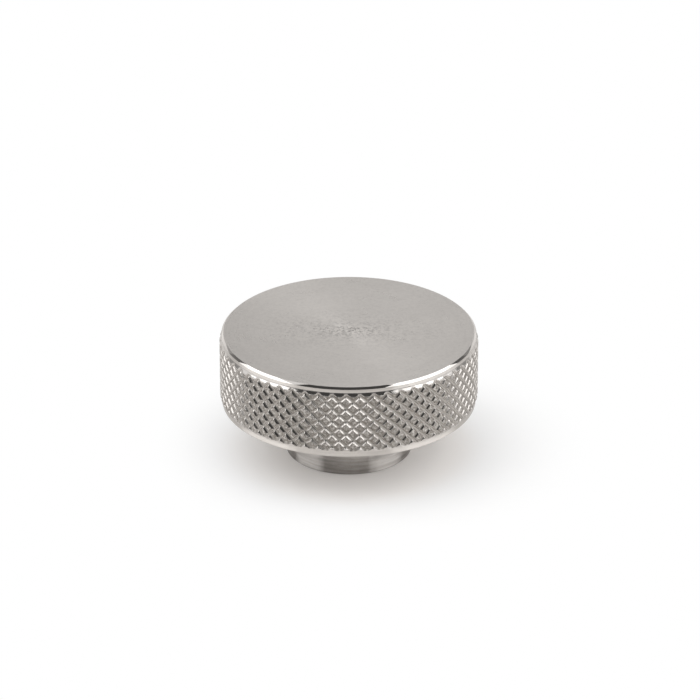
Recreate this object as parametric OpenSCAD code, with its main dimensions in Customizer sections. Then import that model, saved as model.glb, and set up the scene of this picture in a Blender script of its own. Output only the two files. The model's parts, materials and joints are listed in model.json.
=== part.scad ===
// Cabinet knob turned from one bar of stainless steel: a disc head with a diamond knurl round its rim,
// a plain collar above and below the knurl, and a narrower boss that stands on the door.
// The boss has a blind tapped hole for a screw that comes through the door from behind.
// Z points away from the door, and the origin is the centre of the face that sits on it.

/* [Head] */
// Diameter over the crests of the knurl
head_d = 32; // [20:1:60]
// Thickness of the head
head_h = 9.4; // [7:0.2:16]
// How far the plain collars lie below the crests of the knurl
collar_step = 0.25; // [0.15:0.05:0.5]
// Height of the plain collar above the knurl
collar_h = 0.42; // [0.2:0.02:1.5]
// Height of the plain collar below the knurl
lower_collar_h = 0.57; // [0.2:0.01:1.5]
// Chamfer on the head's upper edge
edge_chamfer = 0.25; // [0.1:0.05:1]
// Chamfer on the head's lower edge
lower_chamfer = 0.1; // [0.1:0.05:1]

/* [Knurl] */
// Distance from one groove to the next, square to the grooves
knurl_pitch = 1.2; // [0.9:0.1:2]
// Angle between the grooves and the axis, in degrees
knurl_angle = 45; // [35:1:50]
// Width of a groove at the crests
groove_w = 0.45; // [0.3:0.05:0.7]
// Depth of a groove
groove_depth = 0.24; // [0.15:0.01:0.45]
// Angle between the axis and the chamfer at each end of the knurl, in degrees
runout_angle = 30; // [20:5:60]
// Distance from the upper end of the crests down to the first row of diamonds
first_row = 0.07; // [0:0.01:0.8]

/* [Boss] */
// Diameter of the boss
boss_d = 15.6; // [10:0.2:18]
// Height of the boss, from the door to the head
boss_h = 6.6; // [4:0.2:14]
// Chamfer round the foot of the boss
boss_chamfer = 0.1; // [0.1:0.05:0.6]
// Radius in the corner between the boss and the head
boss_fillet = 0.3; // [0.1:0.1:0.8]

/* [Screw hole] */
// Diameter of the hole before its thread is cut
hole_d = 3.3; // [2.5:0.1:5]
// Depth of the full-diameter hole
hole_depth = 10; // [5:0.5:11]
// Chamfer at the hole's mouth, which leads the screw in
mouth_chamfer = 0.65; // [0.2:0.05:1.5]
// Angle of the drill's point, in degrees
drill_point = 118; // [90:1:140]

/* [Hidden] */
$fn = 180;

steel = [0.72, 0.71, 0.69];
knob_h = boss_h + head_h;
crest_r = head_d / 2;
valley_r = crest_r - groove_depth;
collar_r = crest_r - collar_step;

// The turned core under the knurl lies this far below the bottoms of its grooves
core_margin = 0.5;
// The knurl is trimmed this far above its crests, so that the crests themselves stay whole
trim_gap = 0.001;
// The hole's cutter starts this far below the door face
cutter_start = 1;

// The knurled band, with its end chamfers, between the two collars
runout_h = collar_step / tan(runout_angle);
band_top = knob_h - edge_chamfer - collar_h;
band_bottom = boss_h + lower_chamfer + lower_collar_h;

// Diamonds round the rim, and the angle and height that one of them takes up
diamonds = round(PI * head_d * cos(knurl_angle) / knurl_pitch);
step_a = 360 / diamonds;
step_z = PI * head_d / diamonds / tan(knurl_angle);
// Share of the pitch that is left flat between two grooves
flat = 1 - groove_w / knurl_pitch;

// Rows of diamonds lie half a step apart, and the outer rows reach past both ends of the band
row_z = step_z / 2;
row_seen = band_top - runout_h - first_row;
rows_above = ceil((band_top - row_seen) / row_z);
top_row = row_seen + rows_above * row_z;
rows = ceil((top_row - band_bottom) / row_z) + 1;

function on_rim(r, a, z) = [r * sin(a), -r * cos(a), z];
function row_height(j) = top_row - j * row_z;
function column_angle(i, j) = (i + (j % 2 == 0 ? 0 : 0.5)) * step_a;
function wrap(i) = (i + diamonds) % diamonds;

// Points of the knurl: four flat corners for each diamond, then the places where grooves cross
function corner_points() = [
    for (j = [0:rows - 1], i = [0:diamonds - 1])
        let (a = column_angle(i, j), z = row_height(j), da = flat * step_a / 2, dz = flat * row_z)
            each [
                on_rim(crest_r, a, z + dz),
                on_rim(crest_r, a + da, z),
                on_rim(crest_r, a, z - dz),
                on_rim(crest_r, a - da, z)
            ]
];
function crossing_points() = [
    for (j = [-1:rows], i = [0:diamonds - 1])
        on_rim(valley_r, column_angle(i, j + 2) + step_a / 2, row_height(j))
];
corners = 4 * rows * diamonds;
crossings = (rows + 2) * diamonds;
function corner(i, j, k) = 4 * (j * diamonds + wrap(i)) + k;
function crossing(i, j) = corners + (j + 1) * diamonds + wrap(i);
// The crossing straight above or below diamond i of row j belongs to the next row
function crossing_at(i, j, side) = crossing(j % 2 == 0 ? i - 1 : i, j + side);

// Two triangles for each four-sided face, wound clockwise as seen from outside
function quad(a, b, c, d) = [[a, b, c], [a, c, d]];
function diamond_faces(i, j) =
    let (
        top = corner(i, j, 0),
        right = corner(i, j, 1),
        bottom = corner(i, j, 2),
        left = corner(i, j, 3),
        above = crossing_at(i, j, -1),
        below = crossing_at(i, j, 1),
        before = crossing(i - 1, j),
        after = crossing(i, j)
    )
    concat(
        quad(top, right, bottom, left),
        quad(above, after, right, top),
        quad(after, below, bottom, right),
        quad(below, before, left, bottom),
        quad(before, above, top, left)
    );

// Each end is closed by a fan from a point on the axis
hub_top = corners + crossings;
hub_bottom = hub_top + 1;
function end_faces() = [
    for (i = [0:diamonds - 1])
        let (last = rows - 1)
            each [
                [hub_top, crossing_at(i + 1, 0, -1), crossing(i, 0)],
                [hub_top, crossing(i, 0), crossing_at(i, 0, -1)],
                [hub_bottom, crossing(i, last), crossing_at(i + 1, last, 1)],
                [hub_bottom, crossing_at(i, last, 1), crossing(i, last)]
            ]
];

// Diamond knurl: raised diamonds with flat tops, left between two sets of crossing V grooves
module knurl() {
    points = concat(
        corner_points(),
        crossing_points(),
        [[0, 0, row_height(-0.5)], [0, 0, row_height(rows - 0.5)]]
    );
    faces = concat(
        [for (j = [0:rows - 1], i = [0:diamonds - 1]) each diamond_faces(i, j)],
        end_faces()
    );
    polyhedron(points, faces);
}

// The band that the knurl is rolled on, with a chamfer at each end down to the collars
module knurl_blank() {
    trim_r = crest_r + trim_gap;
    rotate_extrude()
        polygon([
            [0, band_bottom],
            [collar_r, band_bottom],
            [trim_r, band_bottom + runout_h],
            [trim_r, band_top - runout_h],
            [collar_r, band_top],
            [0, band_top]
        ]);
}

// The turned body without the knurl: head, collars, boss and the small radius between them
module turned_body() {
    core_r = valley_r - core_margin;
    boss_r = boss_d / 2;
    rotate_extrude()
        difference() {
            polygon([
                [0, 0],
                [boss_r - boss_chamfer, 0],
                [boss_r, boss_chamfer],
                [boss_r, boss_h - boss_fillet],
                [boss_r + boss_fillet, boss_h],
                [collar_r - lower_chamfer, boss_h],
                [collar_r, boss_h + lower_chamfer],
                [collar_r, band_bottom],
                [core_r, band_bottom],
                [core_r, band_top],
                [collar_r, band_top],
                [collar_r, knob_h - edge_chamfer],
                [collar_r - edge_chamfer, knob_h],
                [0, knob_h]
            ]);
            translate([boss_r + boss_fillet, boss_h - boss_fillet])
                circle(boss_fillet);
        }
}

// Blind hole with a drilled point, and a chamfer at its mouth
module screw_hole() {
    hole_r = hole_d / 2;
    rotate_extrude()
        polygon([
            [0, -cutter_start],
            [hole_r + mouth_chamfer + cutter_start, -cutter_start],
            [hole_r, mouth_chamfer],
            [hole_r, hole_depth],
            [0, hole_depth + hole_r / tan(drill_point / 2)]
        ]);
}

module knob() {
    color(steel)
        difference() {
            union() {
                turned_body();
                intersection() {
                    knurl();
                    knurl_blank();
                }
            }
            screw_hole();
        }
}

knob();
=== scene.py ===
# %% [markdown]
# # A turned cabinet knob with a diamond knurl
#
# The real knob is one piece of stainless steel, cut on a lathe: a disc head, a narrower boss that
# stands on the door, and a tapped hole underneath. A knurling tool has pressed two sets of slanting
# grooves into the rim, and they leave rows of small diamonds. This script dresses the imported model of
# that knob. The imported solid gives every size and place, and a finer mesh of the same form stands for it.

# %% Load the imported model
import json
import math
from collections import namedtuple

import bmesh
import bpy
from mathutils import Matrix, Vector


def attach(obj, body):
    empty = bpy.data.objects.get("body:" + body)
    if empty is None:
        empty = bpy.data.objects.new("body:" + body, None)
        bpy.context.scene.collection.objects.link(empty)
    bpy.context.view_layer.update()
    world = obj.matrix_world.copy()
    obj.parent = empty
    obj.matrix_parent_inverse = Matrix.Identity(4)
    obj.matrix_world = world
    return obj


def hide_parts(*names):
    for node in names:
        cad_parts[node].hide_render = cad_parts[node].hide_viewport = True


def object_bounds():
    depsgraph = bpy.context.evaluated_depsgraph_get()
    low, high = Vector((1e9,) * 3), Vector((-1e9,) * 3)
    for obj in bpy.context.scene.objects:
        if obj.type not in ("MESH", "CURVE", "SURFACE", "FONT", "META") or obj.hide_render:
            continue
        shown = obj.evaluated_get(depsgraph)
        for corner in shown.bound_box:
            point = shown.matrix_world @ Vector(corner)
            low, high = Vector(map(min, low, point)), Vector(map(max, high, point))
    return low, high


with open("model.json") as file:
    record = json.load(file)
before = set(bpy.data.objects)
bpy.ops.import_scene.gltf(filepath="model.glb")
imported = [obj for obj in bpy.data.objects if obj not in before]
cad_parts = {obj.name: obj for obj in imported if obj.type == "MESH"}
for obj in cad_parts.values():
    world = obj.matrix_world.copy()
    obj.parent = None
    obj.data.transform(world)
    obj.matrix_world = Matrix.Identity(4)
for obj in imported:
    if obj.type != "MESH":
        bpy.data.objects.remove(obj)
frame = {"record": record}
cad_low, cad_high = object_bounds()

print("packed model, mm:", [round(size * 1000, 2) for size in cad_high - cad_low])

# %% [markdown]
# ## Sizes
#
# A lathe drawing gives diameters and lengths, so the same few numbers drive this mesh. Everything else
# follows from them. The knurl comes from its pitch: the number of diamonds round the rim is a whole
# number, and the rows are as far apart as that number and the angle of the grooves make them.

# %% Sizes of the knob, in metres
MM = 0.001

knob_h = cad_high.z
crest_r = 16 * MM
head_h = 9.4 * MM
collar_step = 0.25 * MM
collar_h = 0.42 * MM
lower_collar_h = 0.57 * MM
edge_chamfer = 0.25 * MM
lower_chamfer = 0.1 * MM
boss_r = 7.8 * MM
boss_fillet = 0.3 * MM
foot_chamfer = 0.1 * MM

knurl_pitch = 1.2 * MM
groove_w = 0.45 * MM
groove_depth = 0.24 * MM
runout_angle = math.radians(30)
# The first row of diamonds lies this far above the place where the upper end cone starts
first_row_up = 0.08 * MM

hole_r = frame["record"]["mounts"][0]["dims"]["r_mm"] * MM
hole_depth = 10 * MM
mouth_chamfer = 0.65 * MM
drill_point = math.radians(118)
thread_r = 2.0 * MM
thread_pitch = 0.7 * MM

boss_h = knob_h - head_h
collar_r = crest_r - collar_step
band_top = knob_h - edge_chamfer - collar_h
band_bottom = boss_h + lower_chamfer + lower_collar_h
runout_h = collar_step / math.tan(runout_angle)
mouth_r = hole_r + mouth_chamfer

diamonds = round(2 * math.pi * crest_r * math.cos(math.radians(45)) / knurl_pitch)
step_z = 2 * math.pi * crest_r / diamonds
row_z = step_z / 2
print(f"{diamonds} diamonds round the rim, rows {row_z / MM:.3f} mm apart")

# %% [markdown]
# ## A small helper for node trees
#
# Materials and Geometry Nodes are both networks of small nodes. Written out one by one, a formula of
# ten terms takes ten nodes and twenty lines. This helper lets a formula be written as Python arithmetic:
# each operator adds one Math node. Every other kind of node comes from the one method `node`.

# %% Wires and boards


class Wire:
    """One output of a node. Arithmetic on wires adds Math nodes to their board."""

    def __init__(self, board, socket):
        self.board = board
        self.socket = socket

    def math(self, operation, *others):
        return self.board.math(operation, self, *others)

    def __add__(self, other):
        return self.math("ADD", other)

    def __radd__(self, other):
        return self.math("ADD", other)

    def __sub__(self, other):
        return self.math("SUBTRACT", other)

    def __rsub__(self, other):
        return self.board.math("SUBTRACT", other, self)

    def __mul__(self, other):
        return self.math("MULTIPLY", other)

    def __rmul__(self, other):
        return self.math("MULTIPLY", other)

    def __truediv__(self, other):
        return self.math("DIVIDE", other)

    def __rtruediv__(self, other):
        return self.board.math("DIVIDE", other, self)

    def __pow__(self, other):
        return self.math("POWER", other)

    def __gt__(self, other):
        return self.math("GREATER_THAN", other)

    def __lt__(self, other):
        return self.math("LESS_THAN", other)

    def least(self, other):
        return self.math("MINIMUM", other)

    def most(self, other):
        return self.math("MAXIMUM", other)


class Board:
    """A node tree that is being filled."""

    def __init__(self, tree):
        self.tree = tree

    def node(self, kind, settings=None, sockets=None, output=0):
        """Adds a node, with its settings first and then the values or wires of its sockets."""
        made = self.tree.nodes.new(kind)
        for name, value in (settings or {}).items():
            setattr(made, name, value)
        for key, value in (sockets or {}).items():
            if isinstance(value, Wire):
                self.tree.links.new(value.socket, made.inputs[key])
            else:
                made.inputs[key].default_value = value
        return Wire(self, made.outputs[output]) if made.outputs else None

    def math(self, operation, *values):
        return self.node("ShaderNodeMath", {"operation": operation}, dict(enumerate(values)))

    def vector(self, x, y, z):
        return self.node("ShaderNodeCombineXYZ", sockets={"X": x, "Y": y, "Z": z})

    def parts(self, vector):
        """The three numbers of a vector."""
        first = self.node("ShaderNodeSeparateXYZ", sockets={"Vector": vector})
        return [Wire(self, socket) for socket in first.socket.node.outputs]

    def ramp(self, value, low, high, to_low=0.0, to_high=1.0):
        """Runs smoothly from to_low to to_high while value goes from low to high."""
        return self.node(
            "ShaderNodeMapRange",
            {"interpolation_type": "SMOOTHSTEP"},
            {"Value": value, "From Min": low, "From Max": high, "To Min": to_low, "To Max": to_high},
        )


# %% [markdown]
# ## Finishes
#
# The whole knob is one steel, and only its surface differs: some of it is turned, some is faced, and some
# is pressed by the knurling tool. A picture of brushed metal could be wrapped round the knob, but it
# would blur close up. Noise that is stretched along the tool's path stays sharp at any distance. It reads
# Object coordinates, so that it stays on the metal.

# %% Helpers for steel
STEEL = (0.64, 0.612, 0.585)
# The dark steel of the crests' rough skin. The roots of the knurl are mixed towards it too, as painted shade
SKIN_AND_SHADE_STEEL = (0.256, 0.236, 0.214)
# Every finish of the knob, by its name
FINISHES = {}


def noise(board, vector, scale, detail=2.0, roughness=0.5):
    """Smooth noise from 0 to 1."""
    return board.node(
        "ShaderNodeTexNoise",
        sockets={"Vector": vector, "Scale": scale, "Detail": detail, "Roughness": roughness},
    )


def start_steel(name, grain=0.0):
    """A new material, its board, its Principled node, and the place on the piece in millimetres.

    grain is how much more the tool lines, which run round the axis, spread light across than along.
    """
    material = bpy.data.materials.new(name)
    material.use_nodes = True
    material.node_tree.nodes.clear()
    board = Board(material.node_tree)
    shader = board.node(
        "ShaderNodeBsdfPrincipled",
        sockets={"Metallic": 1.0, "Anisotropic": grain, "Anisotropic Rotation": 0.25},
    )
    board.node("ShaderNodeOutputMaterial", sockets={"Surface": shader})
    place = board.node("ShaderNodeTexCoord", output="Object")
    place = board.node("ShaderNodeVectorMath", {"operation": "SCALE"}, {0: place, "Scale": 1 / MM})
    return material, board, shader.socket.node, place


def mixed(board, value, first, second):
    """A colour that runs from the first to the second while value goes from 0 to 1."""
    return board.node(
        "ShaderNodeMix",
        {"data_type": "RGBA"},
        {0: value, 6: (*first, 1), 7: (*second, 1)},
        output=2,
    )


def tone(board, value, dark, bright):
    """Steel's colour times a number that runs from dark to bright while value goes from 0 to 1."""
    return mixed(board, value, [c * dark for c in STEEL], [c * bright for c in STEEL])


def wire_up(board, shader, sockets):
    """Links wires to the Principled node's sockets."""
    for name, wire in sockets.items():
        board.tree.links.new(wire.socket, shader.inputs[name])


# The same dark also paints the shade in the roots of the knurl
print("steel:", STEEL, "and the dark of its rough skin:", SKIN_AND_SHADE_STEEL)

# %% [markdown]
# ### Turned steel
#
# A lathe tool leaves fine lines round a cylinder, and fine rings on the flat underside. They are far too
# fine to model, so they go into a Bump node, and the Anisotropic setting spreads reflections across them.
# Corners are cut last with a sharp tool. They get the same finish with hardly any lines, and shine like a
# mirror. The lines are widest on the boss, where nobody looks.

# %% Turned steel


def turned_steel(name, across, roughness, line_w, line_depth, painted_shade=1.0, streaks=0.03):
    """Steel with fine tool lines. across is what changes from line to line: radius or height."""
    material, board, shader, place = start_steel(name, grain=0.6)
    x, y, z = board.parts(place)
    radius = (x * x + y * y) ** 0.5
    along = radius if across == "radius" else z
    # Along a line the pattern changes slowly, so the lines fade in and out as they go round
    lines = noise(board, board.vector(along / line_w, x * 0.35, y * 0.35), 1.0, 3.0, 0.65)
    broad = noise(board, board.vector(along * 2.2, x * 0.12, y * 0.12), 1.0, 2.0)
    cloud = noise(board, place, 0.45, 3.0)
    bump = board.node(
        "ShaderNodeBump",
        sockets={"Strength": 1.0, "Distance": line_depth, "Height": lines + broad * 0.6},
    )
    streak = 0.5 + (cloud - 0.5) * 0.7 + (broad - 0.5) * 1.4 + (lines - 0.5) * 0.7
    wire_up(
        board,
        shader,
        {
            # A painted shade below 1 darkens the whole finish
            "Base Color": tone(board, streak, painted_shade * (1 - streaks), painted_shade * (1 + streaks)),
            "Roughness": roughness + (lines - 0.5) * 0.06 + (cloud - 0.5) * 0.06,
            "Normal": bump,
        },
    )
    return material


FINISHES["bright"] = turned_steel(
    "bright_turned_steel", "height", roughness=0.05, line_w=0.05, line_depth=0.0002 * MM, streaks=0.01
)
FINISHES["collar"] = turned_steel(
    "turned_collar_steel", "height", roughness=0.14, line_w=0.12, line_depth=0.004 * MM, streaks=0.12
)
# The boss is painted a little darker than the other steel: a painted shade for its place under the head
FINISHES["boss"] = turned_steel(
    "turned_boss_steel",
    "height",
    roughness=0.16,
    line_w=0.2,
    line_depth=0.02 * MM,
    painted_shade=0.96,
    streaks=0.4,
)
FINISHES["under"] = turned_steel(
    "faced_underside_steel", "radius", roughness=0.32, line_w=0.09, line_depth=0.006 * MM
)
FINISHES["thread"] = turned_steel(
    "tapped_steel", "height", roughness=0.3, line_w=0.05, line_depth=0.001 * MM
)
print("turned:", list(FINISHES))

# %% [markdown]
# ### Faced steel
#
# The top is faced from the rim towards the middle while the bar turns at one speed. Near the middle the
# metal passes the tool slowly, and the tool tears small flecks out of it. So the face has rings like the
# underside's, and a coarser noise for the flecks, which fades away from the middle.

# %% Faced steel
RING_W = 0.08


def faced_steel():
    """The flat face: fine rings, flecks torn out near the middle, and a darker edge."""
    material, board, shader, place = start_steel("faced_steel", grain=0.85)
    x, y, _ = board.parts(place)
    radius = (x * x + y * y) ** 0.5
    rings = noise(board, board.vector(radius / RING_W, x * 0.3, y * 0.3), 1.0, 3.0, 0.65)
    broad = noise(board, board.vector(radius * 1.6, x * 0.15, y * 0.15), 1.0, 2.0)
    cloud = noise(board, place, 0.35, 3.0)
    # The flecks fill an oval that is longer from side to side than from front to back
    across = (x * x * 0.2 + y * y) ** 0.5
    tearing = board.ramp(across, 0.0, 2.5, 0.9, 0.0) + board.ramp(across, 0.5, 6.5, 0.5, 0.13)
    torn = (noise(board, place, 2.6, 4.0, 0.75) - 0.5).least(0.06) * tearing
    bump = board.node(
        "ShaderNodeBump",
        sockets={"Strength": 1.0, "Distance": 0.016 * MM, "Height": rings + broad * 0.4 + torn * 0.8},
    )
    level = 0.67 + (cloud - 0.5) * 0.2 + (broad - 0.5) * 0.12 + torn * 4.5
    level = level - board.ramp(radius, 8.0, 15.5, 0.0, 0.06)
    wire_up(
        board,
        shader,
        {
            "Base Color": tone(board, level, 0.48, 1.08),
            "Roughness": 0.29 + (rings - 0.5) * 0.06 + (cloud - 0.5) * 0.06 + torn * 0.1,
            "Normal": bump,
        },
    )
    return material


FINISHES["face"] = faced_steel()
print("faced:", FINISHES["face"].name, "with rings", RING_W, "mm wide")

# %% [markdown]
# ### Pressed steel
#
# A knurling tool rolls its pattern into the rim. Its teeth burnish the walls of the grooves, the roots
# stay dull, and the crests of the diamonds keep the rough skin of the blank. The roots are painted darker
# as well, a painted shade for the deep, narrow grooves. No mask has to be painted for that: walls, roots
# and crests lie at different distances from the axis.

# %% Pressed steel
SKIN_LINE_W = 0.07


def knurled_steel():
    """Pressed steel: burnished groove walls, rough roots painted darker as painted shade, and speckled
    crests.
    """
    material, board, shader, place = start_steel("knurled_steel")
    x, y, z = board.parts(place)
    radius = (x * x + y * y) ** 0.5
    # The cone at each end of the band was turned with a sharp tool and is as bright as the collars
    to_end = (band_top / MM - z).least(z - band_bottom / MM)
    cone = collar_r / MM + to_end * math.tan(runout_angle)
    knurl = board.ramp(radius - cone, -0.01, -0.04)
    crest = board.ramp(radius, crest_r / MM - 0.05, crest_r / MM - 0.01) * knurl
    # The roots are rougher, and they are painted darker: a painted shade for the deep, narrow grooves
    root = board.ramp(radius, crest_r / MM - 0.1, crest_r / MM - 0.18) * knurl
    lines = noise(board, board.vector(x * 0.5, y * 0.5, z / SKIN_LINE_W), 1.0, 3.0, 0.65)
    dents = noise(board, place, 4.0, 4.0, 0.8)
    bump = board.node(
        "ShaderNodeBump",
        sockets={
            "Strength": 1.0,
            "Distance": 0.04 * MM,
            "Height": lines * crest * 0.6 + dents * (0.1 + knurl * 0.4 + crest * 0.5),
        },
    )
    specks = (dents - 0.5) * knurl * (1.5 + crest * 6.5)
    # How far the colour runs to the dark steel: a little on the whole band, more on the crests' rough skin
    # and specks, and painted shade in the roots
    dull_and_painted_shade = knurl * 0.21 + crest * 0.54 + root * 0.375 + specks
    wire_up(
        board,
        shader,
        {
            "Base Color": mixed(board, dull_and_painted_shade, STEEL, SKIN_AND_SHADE_STEEL),
            "Roughness": 0.1 + knurl * 0.09 + crest * 0.22 + root * 0.1 + (dents - 0.5) * 0.15,
            "Normal": bump,
        },
    )
    return material


FINISHES["knurl"] = knurled_steel()
print("pressed:", FINISHES["knurl"].name)

# %% [markdown]
# ## Helpers for Geometry Nodes
#
# The knurl and the screw thread both follow a rule, so Geometry Nodes make them: a flat sheet of squares
# is rolled up round the axis, and a formula moves its points. These helpers start such a tree, end it,
# and run it. The result becomes a plain mesh, which can be joined to the rest of the knob.

# %% Helpers for Geometry Nodes


def geometry_tree(name, inputs):
    """A Geometry Nodes tree with named inputs, its board and a wire for each input."""
    tree = bpy.data.node_groups.new(name, "GeometryNodeTree")
    tree.interface.new_socket("Mesh", in_out="OUTPUT", socket_type="NodeSocketGeometry")
    tree.interface.new_socket("Mesh", in_out="INPUT", socket_type="NodeSocketGeometry")
    kinds = {int: "NodeSocketInt", float: "NodeSocketFloat"}
    for label, value in inputs.items():
        kind = kinds.get(type(value), "NodeSocketMaterial")
        tree.interface.new_socket(label, in_out="INPUT", socket_type=kind)
    board = Board(tree)
    enter = board.node("NodeGroupInput").socket.node
    return tree, board, {label: Wire(board, enter.outputs[label]) for label in inputs}


def end_tree(board, mesh, finish):
    """Ends a tree: what it made becomes one plain mesh in one finish."""
    mesh = board.node("GeometryNodeMergeByDistance", sockets={"Geometry": mesh, "Distance": 0.001 * MM})
    mesh = board.node("GeometryNodeRealizeInstances", sockets={"Geometry": mesh})
    mesh = board.node("GeometryNodeSetMaterial", sockets={"Geometry": mesh, "Material": finish})
    board.node("NodeGroupOutput", sockets={"Mesh": mesh})


def grown_mesh(tree, inputs):
    """Runs a tree on an empty mesh and returns the plain mesh that it makes."""
    piece = bpy.data.objects.new(tree.name, bpy.data.meshes.new(tree.name))
    bpy.context.scene.collection.objects.link(piece)
    modifier = piece.modifiers.new(tree.name, "NODES")
    modifier.node_group = tree
    for socket in tree.interface.items_tree:
        if socket.in_out == "INPUT" and socket.name in inputs:
            modifier[socket.identifier] = inputs[socket.name]
    bpy.context.view_layer.update()
    mesh = bpy.data.meshes.new_from_object(piece.evaluated_get(bpy.context.evaluated_depsgraph_get()))
    bpy.data.objects.remove(piece)
    return mesh


def sheet_of_cells(board, columns, rows, with_middles=False):
    """A flat sheet of squares, one unit wide. Gives the sheet, and the wires of a point's column and row."""
    mesh = board.node(
        "GeometryNodeMeshGrid",
        sockets={"Size X": columns, "Size Y": rows, "Vertices X": columns + 1, "Vertices Y": rows + 1},
    )
    if with_middles:
        # Copy each square, shrink the copy to a point and merge it: four triangles are left
        mesh = board.node("GeometryNodeExtrudeMesh", sockets={"Mesh": mesh, "Offset Scale": 0.0})
        copy = Wire(board, mesh.socket.node.outputs["Top"])
        mesh = board.node(
            "GeometryNodeScaleElements",
            sockets={"Geometry": mesh, "Selection": copy, "Scale": 0.0},
        )
        mesh = board.node("GeometryNodeMergeByDistance", sockets={"Geometry": mesh, "Distance": 0.01})
    x, y, _ = board.parts(board.node("GeometryNodeInputPosition"))
    return mesh, x + columns / 2, y + rows / 2


def roll_up(board, mesh, angle, radius, height):
    """Moves each point to its place round the axis. Angle 0 is the front, and angles grow to the right."""
    place = board.vector(radius * angle.math("SINE"), radius * angle.math("COSINE") * -1, height)
    return board.node("GeometryNodeSetPosition", sockets={"Geometry": mesh, "Position": place})


# %% [markdown]
# ## The knurl
#
# The rim carries more than 500 diamonds, all alike. They could be copies of one modelled diamond, but the
# copies would have to be cut off where the band ends. Here the band is one sheet of small squares
# instead, rolled round the rim. Each square gets a point in its middle, so the edges of the triangles run
# along both sets of grooves and along the corners of the diamonds. A formula then presses the grooves:
# the depth at a point depends only on how far it lies from the nearest groove of each set. At the two
# ends a cone trims the band, as the lathe's chamfering tool does.
#
# A real knurl is pressed by two wheels that never bite equally. So the first set of grooves is wider and
# deeper than the drawing says, and the second set is about as drawn.

# %% Sizes of the knurl
# Squares of the sheet in one step from a diamond to the next
CELLS = 12
row_at_front = band_top - runout_h + first_row_up - row_z
rows_above = round((band_top - row_at_front) / step_z * CELLS)
rows_below = round((row_at_front - band_bottom) / step_z * CELLS)

KNURL = {
    "Diamonds": diamonds,
    "Cells a diamond": CELLS,
    "Rows above": rows_above,
    "Rows below": rows_below,
    "Diamond height": step_z,
    "Front row": row_at_front,
    "Band top": band_top,
    "Band bottom": band_bottom,
    "Crest radius": crest_r,
    "Collar radius": collar_r,
    "Runout slope": math.tan(runout_angle),
    "Pitch": knurl_pitch,
    "First width": groove_w * 1.28,
    "First depth": groove_depth * 1.2,
    "Second width": groove_w,
    "Second depth": groove_depth * 0.96,
    "Wall slope": 1.16,
    "Dome": 0.01 * MM,
    "Edge softness": 0.025 * MM,
    "Root softness": 0.03 * MM,
    "Corner softness": 0.01 * MM,
    "Width spread": 0.075,
    "Unevenness": 0.02 * MM,
    "Wander": 0.04,
    "Seed": 7,
    "Finish": FINISHES["knurl"],
}
for label in ("First width", "First depth", "Second width", "Second depth"):
    print(f"{label}: {KNURL[label] / MM:.3f} mm")

# %% [markdown]
# ### The shape of a groove
#
# A groove is a V with curved walls. Cutting it with plain minimum and maximum would leave knife edges,
# which steel never has, so a rounded step takes their place. Each groove draws its own width, because
# the teeth of the tool are worn unequally. The lines of the sheet are moved to where the surface bends,
# at the edges and in the middle of the grooves, so that few faces give clean edges.

# %% Parts of the knurl's formula


def moved_line(board, number, cells, width):
    """How far a line of the sheet moves to its place in the groove's shape, in pitches."""
    edge = 0.5 - width / 2 / knurl_pitch
    # Places of the lines between the middle of a crest and the middle of a groove
    lines = [0.0, edge - 0.15, edge - 0.07, edge - 0.01, edge + 0.05, edge + 0.14, 0.5]
    switch = board.tree.nodes.new("GeometryNodeIndexSwitch")
    switch.data_type = "FLOAT"
    while len(switch.index_switch_items) < len(lines):
        switch.index_switch_items.new()
    for place, line in enumerate(lines):
        switch.inputs[place + 1].default_value = line - place / CELLS
    board.tree.links.new((number.math("PINGPONG", cells / 2) + 0.5).socket, switch.inputs["Index"])
    side = (0.5 - (number / cells).math("FRACT")).math("SIGN")
    return Wire(board, switch.outputs[0]) * side


def soft_above_zero(value, softness):
    """The value where it is above zero, and zero below, with a rounded step between them."""
    return (value + (value * value + softness * softness) ** 0.5) / 2


def groove_cut(board, turns, width, depth, size, seed):
    """How deep one set of V grooves is pressed at a point. No two grooves are equally wide."""
    number = turns.math("FLOOR").math("FLOORED_MODULO", size["Diamonds"])
    chance = board.node("ShaderNodeTexWhiteNoise", {"noise_dimensions": "1D"}, {"W": number + seed})
    half_width = width * (0.5 + (chance - 0.5) * size["Width spread"])
    aside = (turns.math("FRACT") - 0.5) * size["Pitch"]
    aside = (aside * aside + size["Root softness"] * size["Root softness"]) ** 0.5
    wall = soft_above_zero((half_width - aside) * size["Wall slope"], size["Edge softness"])
    return depth - soft_above_zero(depth - wall, size["Edge softness"])


def from_middle(turns):
    """How far a point lies from the middle of its diamond: 0 there, and 1 in the groove."""
    return 1 - 2 * (turns.math("FRACT") - 0.5).math("ABSOLUTE")


# %% [markdown]
# ### Rolling up the band
#
# Each point of the sheet gets two numbers, one for each set of grooves: how many grooves lie between it
# and the start. Their sum says how far round the rim the point is, their difference says how high, and
# what is left behind the decimal point says how far it is from a groove.

# %% The knurl's tree
SECOND_SEED = 500
# How many bumps of the noise fit in one crest radius
UNEVEN_BUMPS = 34.0
WANDER_BUMPS = 9.0


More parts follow.
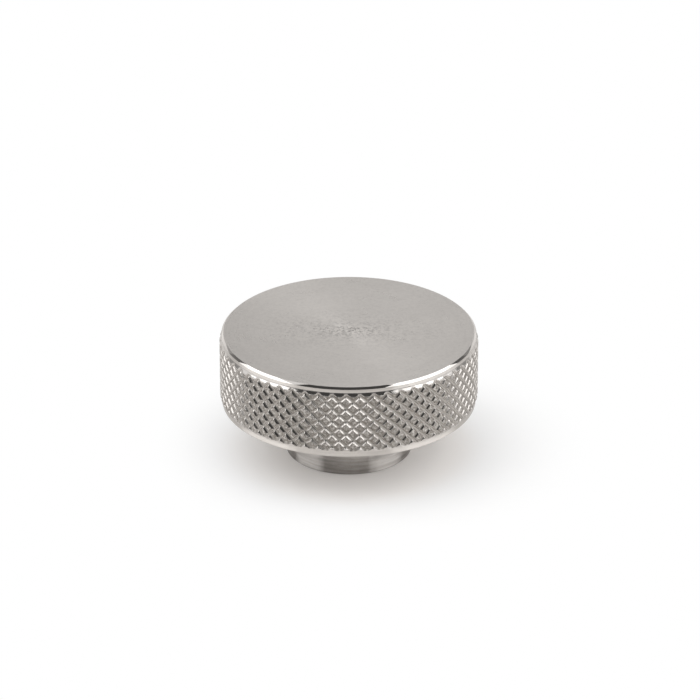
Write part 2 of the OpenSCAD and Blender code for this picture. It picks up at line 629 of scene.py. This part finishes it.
def knurl_tree():
    tree, board, size = geometry_tree("knurl", KNURL)
    cells = size["Cells a diamond"]
    columns = size["Diamonds"] * cells
    rows = size["Rows above"] + size["Rows below"]
    mesh, column, row = sheet_of_cells(board, columns, rows, with_middles=True)
    row = row - size["Rows below"]

    # Lines of the sheet move towards the edges of the grooves, but not at the ends of the band, where
    # the last row stays on the collar's own edge
    to_end = (size["Rows above"] - row).least(row + size["Rows below"])
    moved = board.ramp(to_end, 0.0, 4.0)
    first_lines = moved_line(board, column + row, cells, KNURL["First width"])
    second_lines = moved_line(board, column - row, cells, KNURL["Second width"])
    first_turns = (column + row) / cells + first_lines * moved
    second_turns = (column - row) / cells + second_lines * moved
    round_rim = (first_turns + second_turns) / 2
    up_rim = (first_turns - second_turns) / 2
    is_top = size["Rows above"] - row < 0.25
    is_bottom = row + size["Rows below"] < 0.25
    height = (
        (size["Front row"] + up_rim * size["Diamond height"]) * (1 - is_top - is_bottom)
        + size["Band top"] * is_top
        + size["Band bottom"] * is_bottom
    )

    # Both sets of grooves. The first is pressed deeper, and each diamond's top is a little domed
    first = groove_cut(board, first_turns, size["First width"], size["First depth"], size, size["Seed"])
    second = groove_cut(
        board, second_turns, size["Second width"], size["Second depth"], size, size["Seed"] + SECOND_SEED
    )
    cut = second + soft_above_zero(first - second, size["Corner softness"])
    cut = cut + (from_middle(first_turns) ** 2 + from_middle(second_turns) ** 2) * size["Dome"]

    # The blank that the knurl is pressed into, with its end cones. The grooves run out on the cones,
    # sooner at the top than at the bottom
    step = size["Crest radius"] - size["Collar radius"]
    to_top = (size["Band top"] - height) * size["Runout slope"] / step
    to_bottom = (height - size["Band bottom"]) * size["Runout slope"] / step
    blank = size["Collar radius"] + step * to_top.least(to_bottom).least(1.0).most(0.0)
    cut = cut * board.ramp(to_top, 0.15, 0.9) * board.ramp(to_bottom, 0.2, 0.7)
    angle = round_rim / size["Diamonds"] * math.tau
    where = board.vector(angle.math("SINE"), angle.math("COSINE"), height / size["Crest radius"])
    wobble = (noise(board, where, UNEVEN_BUMPS, 2.0) - 0.5) * size["Unevenness"]
    inside = 1 - is_top - is_bottom
    radius = blank.least(size["Crest radius"] - (cut + wobble.most(0.0)) * inside)

    # The knurling tool never runs quite true, so the grooves wander a little
    aside = (noise(board, where, WANDER_BUMPS, 1.0) - 0.5) * size["Wander"] * moved
    aside = aside / size["Diamonds"] * math.tau
    mesh = roll_up(board, mesh, angle + aside, radius, height)
    end_tree(board, mesh, size["Finish"])
    return tree


knurl_mesh = grown_mesh(knurl_tree(), KNURL)
columns = diamonds * CELLS
print(f"knurl: {columns} columns, {rows_above + rows_below} rows, {len(knurl_mesh.polygons)} faces")

# %% [markdown]
# ## The screw thread
#
# The boss is tapped for an M4 screw. A thread is a ridge on a helix, so it is made like the knurl: a
# sheet of cells rolled into a tube, whose rows climb by one pitch in each turn. The rows run past both
# ends and are pressed flat there, and merging the points closes the tube again.

# %% The thread's tree
# Enough rows in one turn for a flat crest, a flank, a narrow root and another flank
ROWS_A_TURN = 8

THREAD = {
    "Columns": 40,
    "Turns": 14,
    "Rows a turn": ROWS_A_TURN,
    "Pitch": thread_pitch,
    "Bottom": mouth_r - thread_r,
    "Top": hole_depth - thread_pitch,
    "Hole radius": hole_r,
    "Thread radius": thread_r,
    "Mouth radius": mouth_r,
    "Flank end": 0.35,
    "Flank width": 0.29,
    "Finish": FINISHES["thread"],
}


def thread_tree():
    tree, board, size = geometry_tree("thread", THREAD)
    mesh, column, level = sheet_of_cells(board, size["Columns"], (size["Turns"] + 1) * size["Rows a turn"])
    turn = column / size["Columns"]
    share = level / size["Rows a turn"]
    height = size["Bottom"] + (share + turn - 1) * size["Pitch"]
    height = height.most(size["Bottom"]).least(size["Top"])

    # The root of the thread is in the middle of a turn; a cone at the mouth leads the screw in
    from_root = (share.math("FRACT") - 0.5).math("ABSOLUTE")
    flank = ((size["Flank end"] - from_root) / size["Flank width"]).least(1.0).most(0.0)
    fade = ((size["Top"] - height) / size["Pitch"]).least(1.0)
    ridge = size["Hole radius"] + (size["Thread radius"] - size["Hole radius"]) * flank * fade
    radius = ridge.most(size["Mouth radius"] - height)

    mesh = roll_up(board, mesh, turn * math.tau, radius, height)
    end_tree(board, mesh, size["Finish"])
    return tree


thread_mesh = grown_mesh(thread_tree(), THREAD)
print(f"thread: {len(thread_mesh.polygons)} faces")

# %% [markdown]
# ## The turned body
#
# The rest of the knob is what a lathe makes: an outline turned round the axis. The outline is a list of
# corners. A real corner is never perfectly sharp, so each one becomes a small arc, and it is the arc
# that catches the light.

# %% Rings along an outline
Corner = namedtuple("Corner", "radius height round count finish")
Ring = namedtuple("Ring", "radius height count finish")
ARC_STEPS = 3


def rings_along(outline):
    """Rings for an outline of corners, each of them rounded by an arc."""
    rings = []
    for before, here, after in zip([None, *outline], outline, [*outline[1:], None]):
        if not here.round:
            rings.append(Ring(here.radius, here.height, here.count, here.finish))
            continue
        corner = Vector((here.radius, here.height))
        into = (corner - Vector((before.radius, before.height))).normalized()
        out = (Vector((after.radius, after.height)) - corner).normalized()
        side = 1 if into.x * out.y - into.y * out.x > 0 else -1
        bend = into.angle(out)
        start = corner - into * here.round * math.tan(bend / 2)
        centre = start + Vector((-into.y, into.x)) * side * here.round
        arm = start - centre
        for step in range(ARC_STEPS + 1):
            turned = side * bend * step / ARC_STEPS
            spoke = Vector((
                arm.x * math.cos(turned) - arm.y * math.sin(turned),
                arm.x * math.sin(turned) + arm.y * math.cos(turned),
            ))
            finish = here.finish if step == ARC_STEPS else "bright"
            rings.append(Ring(*(centre + spoke), here.count, finish))
    return rings


# %% [markdown]
# ### Faces between rings
#
# A strip of faces joins each ring of points to the next. The rings get fewer points towards the middle,
# where less is needed, and where the number changes the strip is made of triangles. The knob is one mesh,
# so each of its faces names its finish by a number.

# %% Faces between rings
FINISH_NAMES = list(FINISHES)


def ring_points(mesh, ring):
    """The points of a ring. On the axis a ring is one point."""
    points = []
    for number in range(ring.count):
        angle = math.tau * number / ring.count
        x = ring.radius * math.sin(angle)
        y = -ring.radius * math.cos(angle)
        points.append(mesh.verts.new((x, y, ring.height)))
    return points


def join_rings(mesh, first, second, finish):
    """Faces between two rings: squares where the counts match, and triangles where they don't."""
    index = FINISH_NAMES.index(finish)
    if len(first) == len(second):
        faces = [
            (first[n], first[(n + 1) % len(first)], second[(n + 1) % len(second)], second[n])
            for n in range(len(first))
        ]
    else:
        # Walk round both rings at once, and step along the one that lags behind
        faces = []
        a = 0
        b = 0
        b_end = len(second) if len(second) > 1 else 0
        while a < len(first) or b < b_end:
            corner = (first[a % len(first)], second[b % len(second)])
            first_lags = (a + 0.5) / len(first) < (b + 0.5) / len(second)
            if a < len(first) and (b == b_end or first_lags):
                a += 1
                faces.append((*corner, first[a % len(first)]))
            else:
                b += 1
                faces.append((*corner, second[b % len(second)]))
    for points in faces:
        face = mesh.faces.new(points)
        face.material_index = index


def turn_outline(mesh, outline):
    """Turns an outline round the axis."""
    rings = rings_along(outline)
    points = [ring_points(mesh, ring) for ring in rings]
    for number in range(len(rings) - 1):
        join_rings(mesh, points[number], points[number + 1], rings[number].finish)


# %% [markdown]
# ### Three outlines
#
# The knurl and the thread interrupt the outline, so it comes in three strips: from the knurl up to the
# middle of the face, from the knurl down to the mouth of the hole, and from the thread to the drill's
# point. Where a strip meets the knurl or the thread, its ring has the same number of points as theirs.

# %% The outlines
# The radius of the arc on a sharp corner
EDGE = 0.03 * MM
MOUTH_POINTS = 96
rim_points = columns // 2

# Each corner has a radius, a height, its rounding, the points round the axis, and the finish after it
above_knurl = [
    Corner(collar_r, band_top, 0, columns, "collar"),
    Corner(collar_r, band_top + EDGE, 0, rim_points, "collar"),
    Corner(collar_r, knob_h - edge_chamfer, EDGE, rim_points, "bright"),
    Corner(collar_r - edge_chamfer, knob_h, EDGE, rim_points, "face"),
    Corner(0.6 * crest_r, knob_h, 0, columns // 6, "face"),
    Corner(0.2 * crest_r, knob_h, 0, columns // 12, "face"),
    Corner(0, knob_h, 0, 1, "face"),
]
below_knurl = [
    Corner(collar_r, band_bottom, 0, columns, "collar"),
    Corner(collar_r, band_bottom - EDGE, 0, rim_points, "collar"),
    Corner(collar_r, boss_h + lower_chamfer, EDGE, rim_points, "bright"),
    Corner(collar_r - lower_chamfer, boss_h, EDGE, rim_points, "under"),
    Corner(boss_r, boss_h, boss_fillet, columns // 3, "boss"),
    Corner(boss_r, foot_chamfer, EDGE, columns // 3, "bright"),
    Corner(boss_r - foot_chamfer, 0, EDGE, columns // 3, "under"),
    Corner(mouth_r, 0, EDGE, MOUTH_POINTS, "bright"),
    Corner(thread_r, THREAD["Bottom"], 0, THREAD["Columns"], "thread"),
]
above_thread = [
    Corner(hole_r, THREAD["Top"], 0, THREAD["Columns"], "thread"),
    Corner(hole_r, hole_depth, 0, THREAD["Columns"], "thread"),
    Corner(0, hole_depth + hole_r / math.tan(drill_point / 2), 0, 1, "thread"),
]
print("corners of the outlines:", len(above_knurl), len(below_knurl), len(above_thread))

# %% [markdown]
# ## One closed mesh
#
# The knob was never assembled, so its mesh is one piece too. The knurl's sheet, the thread's tube and
# the turned strips share their end rings point for point. Merging those points closes the mesh, and the
# count of open edges below has to be 0.

# %% Join the parts
SEAM = 0.002 * MM

mesh = bmesh.new()
turn_outline(mesh, above_knurl)
turn_outline(mesh, below_knurl)
turn_outline(mesh, above_thread)
for part, finish in ((knurl_mesh, "knurl"), (thread_mesh, "thread")):
    known = len(mesh.faces)
    mesh.from_mesh(part)
    mesh.faces.ensure_lookup_table()
    for face in mesh.faces[known:]:
        face.material_index = FINISH_NAMES.index(finish)
    bpy.data.meshes.remove(part)
bmesh.ops.remove_doubles(mesh, verts=mesh.verts, dist=SEAM)
bmesh.ops.recalc_face_normals(mesh, faces=mesh.faces)
open_edges = sum(not edge.is_manifold for edge in mesh.edges)
volume = mesh.calc_volume(signed=True)

body = bpy.data.meshes.new("turned_knob")
mesh.to_mesh(body)
mesh.free()
for material in FINISHES.values():
    body.materials.append(material)
print(f"joined: {open_edges} open edges, {volume / MM**3:.1f} mm3")

# %% [markdown]
# ### Flat faces and round corners
#
# Smooth shading alone would let the round corners bend the light on the flat faces beside them. So large
# faces lead the shading here: they stay flat, and only the narrow arcs between them turn.

# %% Shade the knob
body.shade_smooth()
knob = bpy.data.objects.new("turned_knob", body)
bpy.context.scene.collection.objects.link(knob)

soft = knob.modifiers.new("shading", "WEIGHTED_NORMAL")
soft.mode = "FACE_AREA"
soft.weight = 75
shaded = bpy.data.meshes.new_from_object(knob.evaluated_get(bpy.context.evaluated_depsgraph_get()))
knob.modifiers.clear()
knob.data = shaded
bpy.data.meshes.remove(body)
shaded.name = "turned_knob"
triangles = sum(len(face.vertices) - 2 for face in shaded.polygons)
print(f"{knob.name}: {triangles} triangles in {len(shaded.materials)} finishes")

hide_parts("knob")
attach(knob, "root")

# %% [markdown]
# ## Floor
#
# The knob stands on a plain white table. Close to the knob the floor takes its shadow, and it is painted
# warmer there, a painted bounce of light from the steel. Further out it turns into pure white, so that it
# has no visible end. One paint does both: it is matt to the camera and runs into a glow of its own. The
# knob sees the same table with a glossy lacquer, and with painted shade on it.

# %% Paint for the floor
SHADOW_FROM = 11 * MM
SHADOW_TO = 28 * MM
SHADOW_SHIFT = 3 * MM


def floor_paint():
    material = bpy.data.materials.new("white_table")
    material.use_nodes = True
    material.node_tree.nodes.clear()
    board = Board(material.node_tree)
    x, y, _ = board.parts(board.node("ShaderNodeTexCoord", output="Object"))
    radius = (x * x + y * y) ** 0.5
    moved = x - SHADOW_SHIFT
    far = board.ramp((moved * moved + y * y) ** 0.5, SHADOW_FROM, SHADOW_TO)
    # Close to the knob the table is painted warmer: a painted bounce of warm light from the steel
    painted_warm_bounce = board.ramp(radius, 0.8 * crest_r, 1.1 * crest_r)
    colour = mixed(board, painted_warm_bounce, (0.95, 0.928, 0.908), (0.93, 0.93, 0.93))
    matt = board.node("ShaderNodeBsdfDiffuse", sockets={"Color": colour})
    white = board.node("ShaderNodeEmission", sockets={"Strength": 1.0})
    clear = board.node("ShaderNodeBsdfTransparent")
    seen = board.node("ShaderNodeLightPath", output="Is Camera Ray")
    shone = board.node("ShaderNodeLightPath", output="Is Glossy Ray")
    below = board.node("ShaderNodeNewGeometry", output="Backfacing")
    # The knob sees a glossy table, so that the softboxes shine in it. What it sees carries painted shade: it
    # is darker close to the boss, a painted shadow of the knob, and darker far out and at the back than
    # under the rim
    level = board.ramp(radius, boss_r, 1.25 * crest_r, 0.6, 0.92)
    level = level * board.ramp(radius, 1.9 * crest_r, 3.2 * crest_r, 1.0, 0.92)
    level = level * board.ramp(y, -1.5 * crest_r, 1.5 * crest_r, 1.0, 0.88)
    painted_shade_colour = mixed(board, level, (0, 0, 0), (1.0, 0.975, 0.95))
    dull_and_painted_shade = board.node("ShaderNodeBsdfDiffuse", sockets={"Color": painted_shade_colour})
    gloss = board.node("ShaderNodeBsdfGlossy", sockets={"Roughness": 0.06})
    mirror = board.node("ShaderNodeFresnel", sockets={"IOR": 2.3})
    lacquer = board.node("ShaderNodeMixShader", sockets={0: mirror, 1: dull_and_painted_shade, 2: gloss})
    plain = board.node("ShaderNodeMixShader", sockets={0: shone, 1: matt, 2: lacquer})
    top = board.node("ShaderNodeMixShader", sockets={0: far * seen, 1: plain, 2: white})
    both = board.node("ShaderNodeMixShader", sockets={0: below, 1: top, 2: clear})
    board.node("ShaderNodeOutputMaterial", sockets={"Surface": both})
    return material


# %% [markdown]
# ### The table's top
#
# The table is a flat ring. It is clear from below and open under the boss, so that the tapped hole can be
# looked at as well. It lies a hair below the boss, so that the two never share a plane.

# %% The floor
FLOOR_R = 2.0
FLOOR_HOLE_R = boss_r - 3 * foot_chamfer
FLOOR_DROP = 0.005 * MM
FLOOR_POINTS = 96


def make_floor():
    mesh = bmesh.new()
    edge = Ring(FLOOR_R, -FLOOR_DROP, FLOOR_POINTS, "face")
    hole = edge._replace(radius=FLOOR_HOLE_R)
    join_rings(mesh, ring_points(mesh, edge), ring_points(mesh, hole), "face")
    bmesh.ops.recalc_face_normals(mesh, faces=mesh.faces)
    if next(iter(mesh.faces)).normal.z < 0:
        bmesh.ops.reverse_faces(mesh, faces=mesh.faces)
    made = bpy.data.meshes.new("table")
    mesh.to_mesh(made)
    mesh.free()
    made.materials.append(floor_paint())
    floor = bpy.data.objects.new("table", made)
    bpy.context.scene.collection.objects.link(floor)
    return floor


table = make_floor()
print(f"{table.name}: {FLOOR_R} m in radius, open under the boss")

# %% [markdown]
# ## Light
#
# Polished metal shows what stands around it, so the light is built from things that it can mirror. A wide
# white softbox stands on each side. Mirrored in the steel they are the bright stretches of the upper
# edge, the collars and the knurl, and they throw the soft shadow on the table.

# %% Softboxes


def softbox(name, x, y_front, y_back, z_low, z_high, strength):
    """A rectangular lamp that stands upright beside the knob and faces it."""
    light = bpy.data.lights.new(name, "AREA")
    light.shape = "RECTANGLE"
    light.size = y_back - y_front
    light.size_y = z_high - z_low
    light.energy = strength * math.pi * light.size * light.size_y
    lamp = bpy.data.objects.new(name, light)
    lamp.location = (x, (y_front + y_back) / 2, (z_low + z_high) / 2)
    lamp.rotation_euler = (math.radians(90), 0, math.radians(90 if x > 0 else -90))
    bpy.context.scene.collection.objects.link(lamp)
    return lamp


# Each softbox has an x, its front and back, its lower and upper edge, and a strength
SOFTBOXES = [
    softbox("softbox_left", -0.35, -0.325, 0.142, 0.11, 0.447, 1.47),
    softbox("softbox_right", 0.35, -0.403, 0.15, 0.11, 0.68, 1.52),
]
print("softboxes:", [lamp.name for lamp in SOFTBOXES])

# %% [markdown]
# ### What else the steel mirrors
#
# The rest of the room is curved cards that glow softly. Behind the knob stands a white wall. Above it is
# a pale panel, which the top face mirrors, with a grey wing on each side. The room behind the camera is
# dark, and gets lighter near the table. Between each softbox and the white wall is a dark gap: it shows
# as the short dark stretch at the outer end of each bright one. The cards are seen only in reflections.
# They cast no shadow and hide nothing from the camera.

# %% Cards
CARD_STEPS = 24
GLOW = (1, 0.99, 0.98, 1)


def card_mesh(name, distance, turn_from, turn_to, rise_from, rise_to):
    """A stretch of a sphere round the origin."""
    mesh = bmesh.new()
    rows = []
    for up in range(CARD_STEPS + 1):
        rise = math.radians(rise_from + (rise_to - rise_from) * up / CARD_STEPS)
        row = []
        for side in range(CARD_STEPS + 1):
            turn = math.radians(turn_from + (turn_to - turn_from) * side / CARD_STEPS)
            x = distance * math.cos(rise) * math.sin(turn)
            y = -distance * math.cos(rise) * math.cos(turn)
            row.append(mesh.verts.new((x, y, distance * math.sin(rise))))
        rows.append(row)
    for lower, upper in zip(rows, rows[1:]):
        for n in range(CARD_STEPS):
            mesh.faces.new((lower[n], lower[n + 1], upper[n + 1], upper[n]))
    made = bpy.data.meshes.new(name)
    mesh.to_mesh(made)
    mesh.free()
    return made


def card_paint(name, distance, rise_from, rise_to, low, high):
    """A glow that runs from low at the card's lower edge to high at its upper edge."""
    paint = bpy.data.materials.new(name)
    paint.use_nodes = True
    paint.node_tree.nodes.clear()
    board = Board(paint.node_tree)
    _, _, z = board.parts(board.node("ShaderNodeTexCoord", output="Object"))
    lower_edge = math.sin(math.radians(rise_from))
    upper_edge = math.sin(math.radians(rise_to))
    bright = board.ramp(z / distance, lower_edge, upper_edge, low, high)
    glow = board.node("ShaderNodeEmission", sockets={"Color": GLOW, "Strength": bright})
    board.node("ShaderNodeOutputMaterial", sockets={"Surface": glow})
    return paint


def card(name, distance, turn_from, turn_to, rise_from, rise_to, low, high):
    """A curved card that only reflections see, with its brightness at its lower and upper edge.

    Angles are in degrees: turn from the front to the right, and rise above the table.
    """
    made = card_mesh(name, distance, turn_from, turn_to, rise_from, rise_to)
    made.materials.append(card_paint(name, distance, rise_from, rise_to, low, high))
    piece = bpy.data.objects.new(name, made)
    piece.visible_camera = False
    piece.visible_diffuse = False
    piece.visible_shadow = False
    bpy.context.scene.collection.objects.link(piece)
    return piece


# Each card has a distance, its two sides, its lower and upper edge, and the brightness at those edges
CARDS = [
    card("front_wall", 0.9, -56, 56, 0, 10, 0.55, 0.45),
    card("dark_room", 0.9, -56, 56, 10, 80, 0.07, 0.07),
    card("dark_gap_left", 0.8, -126.5, -104, -2, 35, 0.4, 0.17),
    card("dark_gap_right", 0.8, 104, 126.5, -2, 35, 0.4, 0.11),
    card("white_wall", 0.9, 126.5, 233.5, 0, 15, 1.1, 0.95),
    card("pale_wall", 0.9, 167, 188, 15, 62, 0.96, 0.92),
    card("grey_wing_right", 0.9, 126.5, 167, 15, 62, 0.34, 0.3),
    card("grey_wing_left", 0.9, 188, 233.5, 15, 62, 0.44, 0.38),
]
print("cards:", [piece.name for piece in CARDS])

# %% [markdown]
# ### The white room
#
# The rest of what the knob sees is an even white, which fills the shadows. The camera and the reflections
# see it as pure white, and it lights the table a little less than that.

# %% World
FILL = 0.82

world = bpy.data.worlds.new("studio")
bpy.context.scene.world = world
world.use_nodes = True
world.node_tree.nodes.clear()
sky = Board(world.node_tree)
seen = sky.node("ShaderNodeLightPath", output="Is Camera Ray")
shone = sky.node("ShaderNodeLightPath", output="Is Glossy Ray")
level = FILL + seen.most(shone) * (1 - FILL)
air = sky.node("ShaderNodeBackground", sockets={"Color": (1, 1, 1, 1), "Strength": level})
sky.node("ShaderNodeOutputWorld", sockets={"Surface": air})
print("world:", world.name, "with a fill of", FILL)

# %% [markdown]
# ## Camera
#
# The photo was taken from about 26 degrees above the table with a long lens. The camera looks at the
# centre of the top face, and a small shift puts that point where the photo has it.

# %% The camera
VIEW_TURN = math.radians(1.2)
VIEW_RISE = math.radians(26.05)
VIEW_DISTANCE = 35 * crest_r
FRAME_PIXELS = 700
PIXELS_PER_CREST_RADIUS = 129.6
TOP_CENTRE = (348.9, 330.68)

camera = bpy.data.cameras.new("camera")
camera.sensor_width = 36
camera.lens = camera.sensor_width * PIXELS_PER_CREST_RADIUS * VIEW_DISTANCE / crest_r / FRAME_PIXELS
camera.shift_x = (FRAME_PIXELS / 2 - TOP_CENTRE[0]) / FRAME_PIXELS
camera.shift_y = (TOP_CENTRE[1] - FRAME_PIXELS / 2) / FRAME_PIXELS
camera.clip_start = 0.01
camera.clip_end = 10
eye = bpy.data.objects.new("camera", camera)
back = Vector((
    math.sin(VIEW_TURN) * math.cos(VIEW_RISE),
    -math.cos(VIEW_TURN) * math.cos(VIEW_RISE),
    math.sin(VIEW_RISE),
))
eye.location = Vector((0, 0, knob_h)) + back * VIEW_DISTANCE
eye.rotation_euler = (-back).to_track_quat("-Z", "Y").to_euler()
bpy.context.scene.collection.objects.link(eye)
bpy.context.scene.camera = eye
bpy.context.scene.view_settings.view_transform = "Standard"
print(f"lens {camera.lens:.1f} mm")
